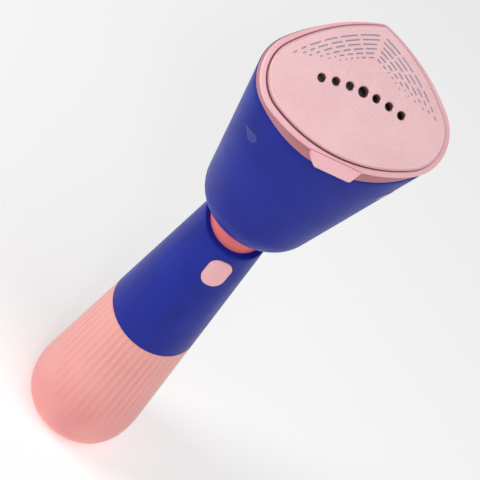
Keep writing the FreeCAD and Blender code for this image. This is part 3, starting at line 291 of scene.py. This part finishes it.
MATERIALS = {
    # Satin shell of the handle and head: deep colour, broad soft highlights, a fine even grain.
    "blue_shell": moulded_plastic("moulded_ABS_royal_blue", "0F2090", "14289C", 0.4, IOR=1.3),
    # Smoother than the shell around it, so the drop-shaped windows catch the light first.
    "blue_lens": moulded_plastic("moulded_polycarbonate_blue", "1A2C98", "2033A4", 0.3),
    # Darkest blue, so that the narrow joint round a window reads as a line of shade.
    "joint_shadow": moulded_plastic("moulded_ABS_navy_in_shade", "070E38", "0A1242", 0.5),
    # Bright warm ring under the head.
    "coral_collar": moulded_plastic("moulded_ABS_coral", "FF7674", "FF847E", 0.38),
    # Pale button, a little duller than the rim.
    "pink_button": moulded_plastic("moulded_ABS_blush", "FDB4BC", "FFC0C4", 0.42),
    # Light lip and tab round the soleplate.
    "pink_rim": moulded_plastic("moulded_ABS_light_pink", "FFBAC6", "FFC6CF", 0.36),
    # Heat-proof band, darker and duller than the lip above it.
    "dusty_band": moulded_plastic("moulded_PBT_dusty_pink", "BC7A82", "C6858B", 0.45),
    "tank": tinted_tank(),
    # Welded lid of the tank, opaque and a little paler than the walls.
    "tank_lid": moulded_plastic("moulded_polypropylene_pink", "F0A8A4", "F5B4AE", 0.35),
    # Soft filler plug, matt to the eye.
    "soft_pink": moulded_plastic("moulded_silicone_pink", "E89A9E", "EFA6A8", 0.6),
    # Near-black seals and cord gland with a coarse dull grain.
    "rubber": moulded_plastic("moulded_EPDM_rubber", "17171A", "202024", 0.72, 0.8, 0.02),
    # Milky hoses and gasket.
    "silicone": moulded_plastic("extruded_silicone", "D9D6CC", "E6E3DA", 0.5, 0.8, 0.01),
    # Pump, nut and poppet: plain white with faint flow marks.
    "white_plastic": moulded_plastic("moulded_nylon_white", "D8D8D2", "E3E3DE", 0.45),
    # Spine and dock inside the handle: plain light grey.
    "inner_plastic": moulded_plastic("moulded_ABS_grey", "B8B8B6", "C4C4C2", 0.5),
    # Plain black cases of the switch and the relay.
    "black_plastic": moulded_plastic("moulded_phenolic_black", "101012", "19191B", 0.45),
    # Green board with a slightly uneven face.
    "circuit_board": moulded_plastic("glass_epoxy_laminate", "0F4A26", "1A5C31", 0.4, 0.9, 0.02),
    # Bright metals with fine streaks: up the drawn steel, and across the brass.
    "steel": turned_metal("drawn_stainless_steel", "8E8E90", "B4B4B6", 0.32, (1, 1, 0.06)),
    "brass": turned_metal("turned_brass", "A8823C", "C9A459", 0.3, (0.06, 1, 1)),
    "copper": wound_copper(),
    # Dull, pitted steam chamber.
    "cast_aluminium": cast_metal("die_cast_aluminium", "77777A", "9A9A9D", 0.5),
    "soleplate": soleplate_coating(),
    # Flat ink that is duller and bluer than the coat it is printed on.
    "printed_dashes": moulded_plastic("pad_printed_ink_grey_lilac", "958FA3", "A29BAE", 0.5),
}

for row in frame["record"]["subparts"]:
    data = NODES[row["node"]].data
    data.materials.clear()
    data.materials.append(MATERIALS[row["material_slot"]])


# ---------------------------------------------------------------- outline of the head

def bearing(start, end):
    """Direction from one point to another, in radians."""
    return math.atan2(end[1] - start[1], end[0] - start[0])


def drop_stations(front=0.0, back=0.0):
    """Points and outward normals round the drop outline: six tangent arcs, point to the back."""
    tip_radius = TIP_RADIUS - back
    corner_x = PLATE_HALF_WIDTH - CORNER_RADIUS
    bottom = PLATE_FRONT - front
    fall = WIDE_AT - bottom
    belly = (corner_x ** 2 + fall ** 2 - CORNER_RADIUS ** 2) / (2 * (fall - CORNER_RADIUS))
    tip = (0.0, PLATE_APEX - TIP_RADIUS)
    cheek = (corner_x, WIDE_AT)
    base = (0.0, bottom + belly)
    reach, swing = FLANK_RADIUS - CORNER_RADIUS, FLANK_RADIUS - tip_radius
    span = math.dist(tip, cheek)
    along = (reach ** 2 - swing ** 2 + span ** 2) / (2 * span)
    across = math.sqrt(reach ** 2 - along ** 2)
    step = ((tip[0] - cheek[0]) / span, (tip[1] - cheek[1]) / span)
    flank = (cheek[0] + along * step[0] - across * abs(step[1]),
             cheek[1] + along * step[1] - across * abs(step[0]))
    at_tip, at_cheek, at_base = bearing(flank, tip), bearing(flank, cheek), bearing(base, cheek)
    turn = 2 * math.pi
    # Centre, radius, first and last bearing, and number of points of each arc.
    arcs = [(flank, FLANK_RADIUS, at_cheek, at_tip, 30),
            (tip, tip_radius, at_tip, math.pi - at_tip, 12),
            ((-flank[0], flank[1]), FLANK_RADIUS, math.pi - at_tip, math.pi - at_cheek, 30),
            ((-corner_x, WIDE_AT), CORNER_RADIUS, math.pi - at_cheek, math.pi - at_base, 24),
            (base, belly, math.pi - at_base, turn + at_base, 44),
            (cheek, CORNER_RADIUS, turn + at_base, turn + at_cheek, 24)]
    stations = []
    for centre, radius, start, end, steps in arcs:
        for index in range(steps):
            angle = start + (end - start) * index / steps
            normal = Vector((math.cos(angle), math.sin(angle)))
            stations.append((Vector(centre) + radius * normal, normal))
    return stations


def on_plate(x, y, depth=0.0):
    """A point given square on to the soleplate, in millimetres, as a point of the model."""
    return Vector((x, y * math.cos(PLATE_TILT) + depth * math.sin(PLATE_TILT),
                   PLATE_HEIGHT + y * math.sin(PLATE_TILT) - depth * math.cos(PLATE_TILT)))


def plate_level(grow, depth):
    """A ring of the drop outline, grown by a distance, at a depth under the soleplate's face."""
    def ring(point, normal):
        spot = point + grow * normal
        return on_plate(spot.x, spot.y, depth)
    return ring


def ring_stack(stations, levels, closed=False):
    """A skin of rings: a circle of points, extruded from level to level."""
    form = bmesh.new()
    tag = form.verts.layers.int.new("station")
    bmesh.ops.create_circle(form, segments=len(stations), radius=1.0)
    form.verts.ensure_lookup_table()
    for index, vertex in enumerate(form.verts):
        vertex[tag] = index
    first = form.edges[:]
    edges = first
    for number, level in enumerate(levels):
        if number:
            made = bmesh.ops.extrude_edge_only(form, edges=edges)["geom"]
            fresh = {item for item in made if isinstance(item, bmesh.types.BMVert)}
            edges = [item for item in made if isinstance(item, bmesh.types.BMEdge)
                     and set(item.verts) <= fresh]
        else:
            fresh = set(form.verts)
        for vertex in fresh:
            vertex.co = level(*stations[vertex[tag]]) * MM
    if closed:
        bmesh.ops.bridge_loops(form, edges=first + edges)
    else:
        bmesh.ops.holes_fill(form, edges=first + edges)
    return form


def keep(form, name, body, slot, sharp=35.0, stands_for=()):
    """Makes a finished piece of a bmesh: normals out, smooth faces, sharp edges, body and slot."""
    bmesh.ops.remove_doubles(form, verts=form.verts, dist=WELD)
    bmesh.ops.recalc_face_normals(form, faces=form.faces)
    for face in form.faces:
        face.smooth = True
    for edge in form.edges:
        edge.smooth = edge.calc_face_angle(0.0) < math.radians(sharp)
    mesh = bpy.data.meshes.new(name)
    form.to_mesh(mesh)
    form.free()
    mesh.materials.append(MATERIALS[slot])
    piece = bpy.data.objects.new(name, mesh)
    bpy.context.scene.collection.objects.link(piece)
    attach(piece, body)
    if stands_for:
        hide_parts(*stands_for)
    return piece


def head_ring(wall_lean, angle_share, inset):
    """One ring of the head's rounded bottom; each station's arc ends where its wall begins."""
    radius = HEAD_ROUND - inset

    def ring(point, normal):
        angle = angle_share * (math.pi / 2 - wall_lean[(point.x, point.y)])
        out = HEAD_FLAT + radius * math.sin(angle)
        spot = RING_EASE * point + (out - RING_EASE * CORNER_RADIUS) * normal
        # The outline's corner centres lie off the middle and widen the ring: it is scaled back.
        width = (out + RING_EASE * (PLATE_HALF_WIDTH - CORNER_RADIUS)) / out
        return Vector((spot.x / width, RING_CENTRE + (spot.y - RING_EASE * WIDE_AT) / width,
                       HEAD_BOTTOM + inset + radius * (1 - math.cos(angle))))
    return ring


def make_head_shell():
    """The blue head: straight walls from the tilted drop edge down to a soft round bottom."""
    stations = drop_stations(HEAD_FRONT, BACK_EASE)
    top = plate_level(HEAD_GROW, HEAD_DEPTH)
    lean = {(point.x, point.y): 0.0 for point, normal in stations}
    for point, normal in stations:
        low = head_ring(lean, LEAN_SHARE, 0.0)(point, normal)
        high = top(point, normal)
        run = (Vector((high.x, high.y)) - Vector((low.x, low.y))).dot(normal)
        lean[(point.x, point.y)] = math.atan2(run, high.z - low.z)

    def wall(share, inset):
        edge = plate_level(HEAD_GROW - inset, HEAD_DEPTH)
        ring = head_ring(lean, 1.0, inset)
        return lambda point, normal: edge(point, normal).lerp(ring(point, normal), share)

    def neck(height):
        def ring(point, normal):
            return Vector((NECK_HOLE * normal.x, NECK_HOLE * normal.y, height))
        return ring

    levels = [plate_level(HEAD_GROW - HEAD_WALL, HEAD_DEPTH),
              plate_level(HEAD_GROW - LIP_ROUND, HEAD_DEPTH)]
    levels += [wall(share, inset) for share, inset in EDGE_RINGS]
    levels += [wall(index / WALL_RINGS, 0.0) for index in range(1, WALL_RINGS)]
    levels += [head_ring(lean, 1 - index / WALL_RINGS, 0.0) for index in range(WALL_RINGS + 1)]
    levels += [neck(HEAD_BOTTOM), neck(HEAD_BOTTOM + HEAD_WALL)]
    levels += [head_ring(lean, index / INNER_RINGS, HEAD_WALL) for index in range(INNER_RINGS + 1)]
    levels += [wall(share, HEAD_WALL) for share in INNER_WALL_SHARES]
    form = ring_stack(stations, levels, closed=True)
    return keep(form, "HeadShell", "body", "blue_shell", sharp=40.0, stands_for=["head_shell"])


# ---------------------------------------------------------------- indicator windows

def lens_stations():
    """The drop-shaped outline of an indicator window, turned to its slant on the wall."""
    tip = Vector((0.0, LENS_LENGTH - LENS_RADIUS))
    half = math.acos(LENS_RADIUS / tip.y)
    start, end = math.pi / 2 + half, 5 * math.pi / 2 - half
    turn = Matrix.Rotation(LENS_TURN, 2)
    stations = []
    for index in range(ROUND_STEPS + 1):
        angle = start + (end - start) * index / ROUND_STEPS
        normal = Vector((math.cos(angle), math.sin(angle)))
        stations.append((LENS_RADIUS * normal, normal))
    last, first = stations[-1], stations[0]
    shares = [index / SIDE_STEPS for index in range(1, SIDE_STEPS)]
    right = [(last[0].lerp(tip, share), last[1]) for share in shares]
    left = [(tip.lerp(first[0], share), first[1]) for share in shares]
    stations += right + [(tip, Vector((0.0, 1.0)))] + left
    return [(turn @ point, turn @ normal) for point, normal in stations]


def make_lenses(shell):
    """Drop-shaped windows that stand a hair proud, each in a narrow joint coloured darkest blue as
    painted shade.
    """
    wall = BVHTree.FromObject(shell, bpy.context.evaluated_depsgraph_get())
    stations = lens_stations()
    for name, side in (("Left", -1), ("Right", 1)):
        inward = Vector((-side * math.cos(LENS_HEADING), math.sin(LENS_HEADING), 0.0))
        along = Vector((side * math.sin(LENS_HEADING), math.cos(LENS_HEADING), 0.0))
        centre = Vector((side * LENS_CENTRE[0], LENS_CENTRE[1], LENS_CENTRE[2]))

        def on_wall(share, offset, height):
            def ring(point, normal):
                spot = share * point + offset * normal
                aim = centre + spot.x * along + Vector((0, 0, spot.y)) - LENS_REACH * inward
                hit = wall.ray_cast(aim * MM, inward)[0] / MM
                return hit - height * inward
            return ring

        window = [on_wall(*ring) for ring in WINDOW_RINGS]
        keep(ring_stack(stations, window), name + "Window", "body", "blue_lens",
             sharp=60.0, stands_for=[name.lower() + "_indicator_lens"])
        joint = [on_wall(*ring) for ring in JOINT_RINGS]
        keep(ring_stack(stations, joint, closed=True), name + "WindowJoint", "body",
             "joint_shadow", sharp=30.0)


# ---------------------------------------------------------------- water tank

def make_tank():
    """The salmon tank: a tapered cup with soft upright ribs that fade towards its foot."""
    form = bmesh.new()
    spots = [form.verts.new((radius * MM, 0, height * MM)) for radius, height in tank_profile()]
    edges = [form.edges.new(pair) for pair in zip(spots, spots[1:])]
    bmesh.ops.spin(form, geom=spots + edges, cent=(0, 0, 0), axis=(0, 0, 1), angle=2 * math.pi,
                   steps=RIB_COUNT * STEPS_PER_RIB, use_merge=True, use_duplicate=False)
    bmesh.ops.remove_doubles(form, verts=form.verts, dist=WELD)
    # The rib share is highest on the crests; the tank's material uses it to paint them paler as
    # painted light, and it also gates how far points sink between ribs.
    rib = form.verts.layers.float.new("rib")
    for vertex in form.verts:
        height = vertex.co.z / MM
        angle = math.atan2(vertex.co.y, vertex.co.x)
        fade = max(0.0, min(1.0, (height - RIB_FADE_LOW) / (RIB_FADE_HIGH - RIB_FADE_LOW)))
        fade = fade * fade * (3 - 2 * fade)
        swell = 0.5 + 0.5 * math.cos(RIB_COUNT * angle)
        vertex[rib] = fade * swell
        radius = math.hypot(vertex.co.x, vertex.co.y) / MM
        if vertex[rib] and radius > cone_radius(height) - OUTER_SKIN:
            scale = 1 - RIB_DEPTH * fade * (1 - swell) / cone_radius(height)
            vertex.co.x *= scale
            vertex.co.y *= scale
    lean = Vector((0, -math.sin(SPLIT_TILT), math.cos(SPLIT_TILT)))
    cut = bmesh.ops.bisect_plane(form, geom=form.verts[:] + form.edges[:] + form.faces[:],
                                 plane_co=(0, 0, SPLIT_HEIGHT * MM), plane_no=lean,
                                 clear_outer=True)
    rim = [item for item in cut["geom_cut"] if isinstance(item, bmesh.types.BMEdge)]
    bmesh.ops.bridge_loops(form, edges=rim)
    keep(form, "WaterTank", "tank", "tank", sharp=45.0, stands_for=["tank_shell"])


def cone_radius(height):
    """Radius of the cone that the handle and the tank share."""
    return TANK_BASE_RADIUS - CONE_SLOPE * height


def tank_profile():
    """Radius and height from the middle of the floor out, up the wall, and down inside."""
    outside = list(TANK_FOOT)
    outside += [(cone_radius(height), float(height)) for height in CONE_HEIGHTS]
    inside = [(radius - TANK_WALL, height) for radius, height in reversed(outside[INNER_START:])]
    inside += TANK_FLOOR
    return outside + inside


# ---------------------------------------------------------------- pieces refined from the nodes

def refine(node, name, body, slot, sharp=25.0, bevel_mm=0.0):
    """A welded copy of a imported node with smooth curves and, if asked, softened edges."""
    form = bmesh.new()
    form.from_mesh(NODES[node].data)
    bmesh.ops.remove_doubles(form, verts=form.verts, dist=WELD)
    bmesh.ops.dissolve_limit(form, angle_limit=math.radians(0.4), verts=form.verts,
                             edges=form.edges)
    piece = keep(form, name, body, slot, sharp, [node])
    if bevel_mm:
        bevel = piece.modifiers.new("soft_edges", "BEVEL")
        bevel.width = bevel_mm * MM
        bevel.segments = 3
        bevel.limit_method = "ANGLE"
        bevel.angle_limit = math.radians(35)
        bevel.harden_normals = True


# ---------------------------------------------------------------- printed dashes on the soleplate

def make_dashes():
    """Rows of pad-printed dashes that follow the soleplate's upper edges."""
    form = bmesh.new()
    flank = [station for station in drop_stations() if station[0].y > WIDE_AT and station[0].x > 0]
    flank.sort(key=lambda station: station[0].x)
    for inset, lengths in zip(DASH_ROWS, DASH_LENGTHS):
        line = [point - inset * normal for point, normal in flank]
        line = [spot for spot in line if spot.x > 0]
        reach = 0.0
        for gap, length in zip(DASH_GAPS, lengths):
            reach += gap
            dash = [walk(line, reach + length * step / DASH_STEPS)
                    for step in range(DASH_STEPS + 1)]
            reach += length
            for side in (-1, 1):
                add_dash(form, dash, side)
    keep(form, "PrintedDashes", "body", "printed_dashes", sharp=30.0)


def walk(line, distance):
    """The point and direction at a distance along a line of points."""
    for start, end in zip(line, line[1:]):
        step = (end - start).length
        if distance <= step:
            break
        distance -= step
    way = (end - start).normalized()
    return start + way * distance, way


def add_dash(form, dash, side):
    """One thin bar of ink along a few points of its row."""
    rails = []
    for edge in (-0.5, 0.5):
        for lift in (0.0, INK_THICKNESS):
            corners = [ink_point(spot, way, edge, lift, side) for spot, way in dash]
            rails.append([form.verts.new(corner) for corner in corners])
    low_a, high_a, low_b, high_b = rails
    for first, second in ((low_a, high_a), (high_a, high_b), (high_b, low_b), (low_b, low_a)):
        for index in range(len(dash) - 1):
            form.faces.new((first[index], first[index + 1], second[index + 1], second[index]))
    for end in (0, -1):
        form.faces.new((low_a[end], high_a[end], high_b[end], low_b[end]))


def ink_point(spot, way, edge, lift, side):
    """A corner of a dash: half its width off the row's line, on or just above the plate."""
    flat = spot + Vector((-way.y, way.x)) * edge * DASH_WIDTH
    return on_plate(side * flat.x, flat.y, -lift) * MM


# ---------------------------------------------------------------- studio

def make_studio():
    """Pale floor, dim white surroundings and three soft boxes, the smallest for the edges."""
    form = bmesh.new()
    bmesh.ops.create_grid(form, x_segments=1, y_segments=1, size=6.0)
    mesh = bpy.data.meshes.new("Floor")
    form.to_mesh(mesh)
    form.free()
    floor = bpy.data.objects.new("Floor", mesh)
    bpy.context.scene.collection.objects.link(floor)
    # Even white paint that glows faintly, so that the floor reads as one pale field.
    material, tree = start_material("matt_white_paint")[:2]
    finish_material(material, tree, linear("F4F4F4"), 0.9, Emission_Color=linear("FFFFFF"),
                    Emission_Strength=0.32)
    mesh.materials.append(material)

    world = bpy.data.worlds.new("Studio")
    bpy.context.scene.world = world
    world.use_nodes = True
    background = world.node_tree.nodes["Background"]
    background.inputs["Color"].default_value = (1.0, 1.0, 1.0, 1.0)
    background.inputs["Strength"].default_value = 0.22

    soft_box("LeftBox", (-1.1, 0.15, 0.75), (0.0, 0.0, 0.2), width=0.5, height=0.9, power=6.5)
    soft_box("TopBox", (0.15, -0.7, 1.5), (0.0, 0.0, 0.15), width=1.0, height=1.0, power=8.5)
    soft_box("EdgeBox", (-0.3, -0.9, 1.1), (0.0, 0.0, 0.15), width=0.14, height=0.14, power=1.8)


def soft_box(name, place, target, width, height, power):
    """A rectangular lamp that faces its target; sizes in metres, power in watts."""
    light = bpy.data.lights.new(name, "AREA")
    light.shape = "RECTANGLE"
    light.size, light.size_y, light.energy = width, height, power
    lamp = bpy.data.objects.new(name, light)
    lamp.location = place
    lamp.rotation_euler = (Vector(target) - Vector(place)).to_track_quat("-Z", "Y").to_euler()
    bpy.context.scene.collection.objects.link(lamp)


def make_camera():
    """Looks down on the steamer from the front left, with the handle running across the frame."""
    camera = bpy.data.cameras.new("Camera")
    camera.lens = 187.5
    camera.sensor_width = 36.0
    camera.clip_start, camera.clip_end = 0.05, 30.0
    view = bpy.data.objects.new("Camera", camera)
    right = Vector((0.85801976, 0.06598473, 0.5093605))
    up = Vector((-0.38377403, 0.74145681, 0.55041738))
    forward = Vector((0.34134967, 0.66774832, -0.66150782))
    turn = Matrix((right, up, -forward)).transposed().to_4x4()
    view.matrix_world = Matrix.Translation((-0.377296, -0.750795, 0.896556)) @ turn
    bpy.context.scene.collection.objects.link(view)
    bpy.context.scene.camera = view


bpy.context.scene.view_settings.view_transform = "Standard"
make_camera()
make_studio()
make_lenses(make_head_shell())
make_tank()
refine("handle_shell", "HandleShell", "body", "blue_shell")
refine("steam_button", "SteamButton", "button", "pink_button", bevel_mm=0.35)
refine("neck_collar", "NeckCollar", "body", "coral_collar")
refine("cord_gland", "CordGland", "body", "rubber", bevel_mm=0.3)
refine("rim_lip", "RimLip", "body", "pink_rim", bevel_mm=0.2)
refine("rim_band", "RimBand", "body", "dusty_band")
refine("front_tab", "FrontTab", "body", "pink_rim", bevel_mm=0.25)
make_dashes()
